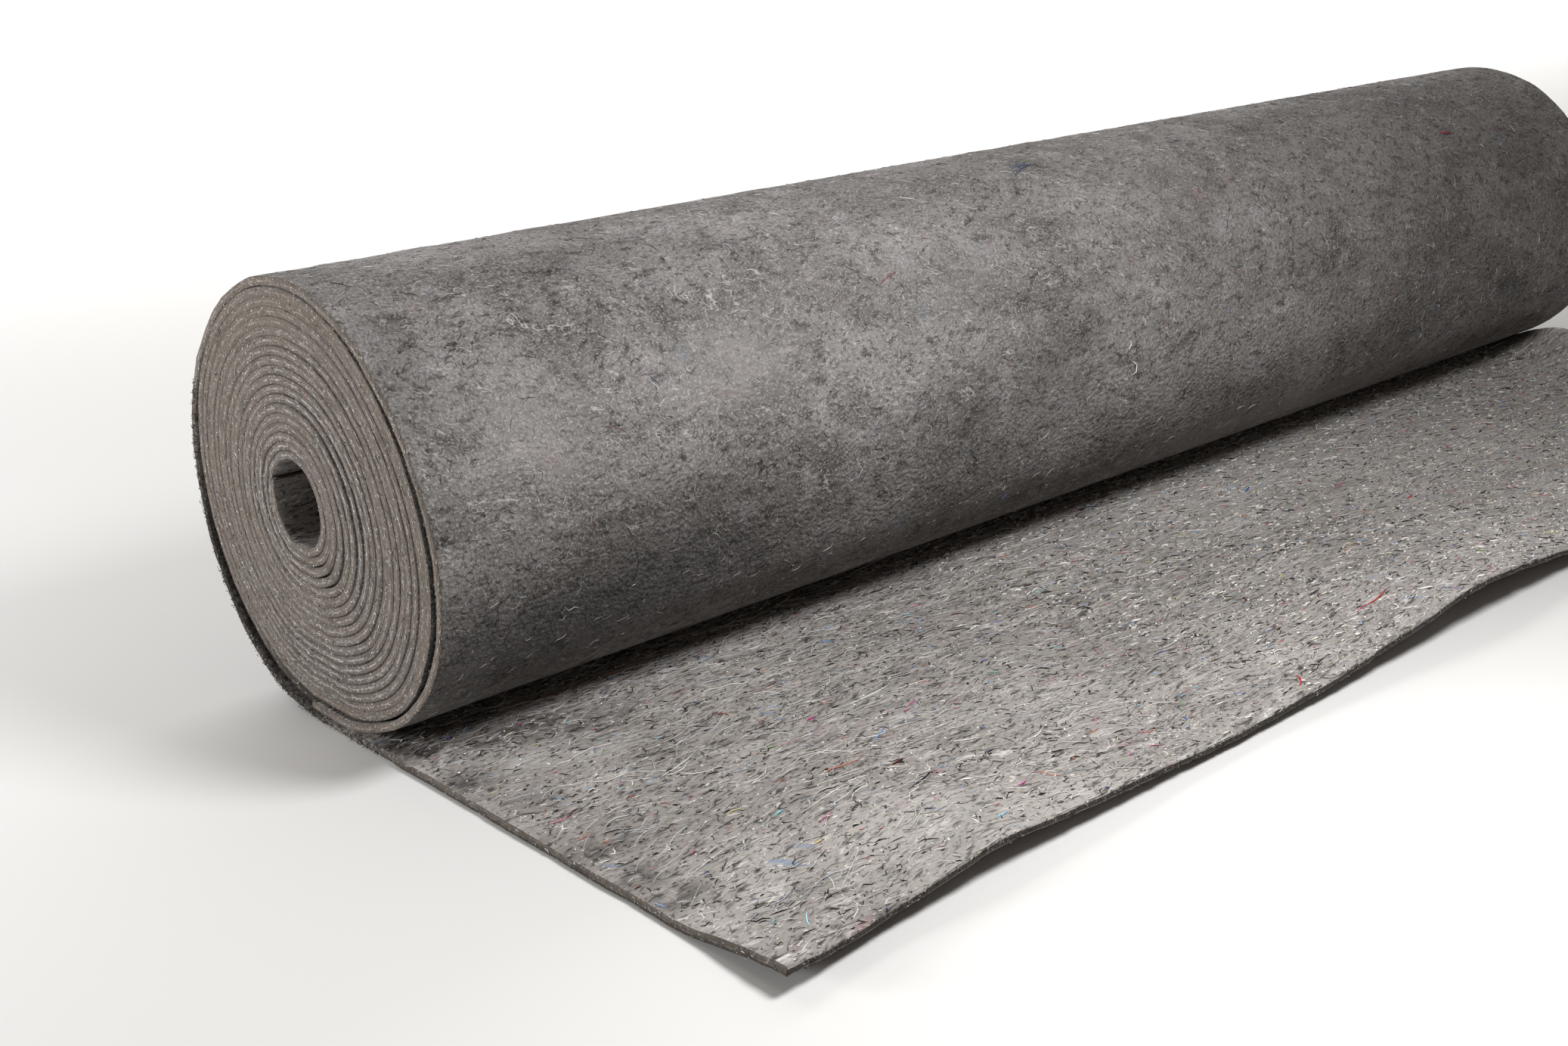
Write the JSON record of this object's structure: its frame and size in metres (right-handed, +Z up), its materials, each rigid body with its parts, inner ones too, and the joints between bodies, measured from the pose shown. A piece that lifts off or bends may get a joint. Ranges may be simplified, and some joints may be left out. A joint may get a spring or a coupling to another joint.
{
  "type": "roll of felt protection mat",
  "caption": "Roll of thick needled felt mat for covering floors, wound round an open hole and lying on its unrolled loose end.",
  "frame": {"origin": "on the floor under the roll's axis, halfway along the roll", "axes": "+X along the roll, away from the end whose hole the picture shows; +Y towards the back, where the mat comes off the roll; the loose end lies on the floor towards -Y; +Z up"},
  "size_m": [1, 0.4123, 0.2084],
  "materials": {
    "cut_felt": "matte needled felt of reclaimed fibres, grey-brown, cut edge",
    "face_felt": "matte needled felt of reclaimed fibres, mottled grey with light, dark and coloured fibres"
  },
  "bodies": {
    "root": {"wound_roll": "cut_felt", "loose_end": "face_felt"}
  },
  "joints": []
}
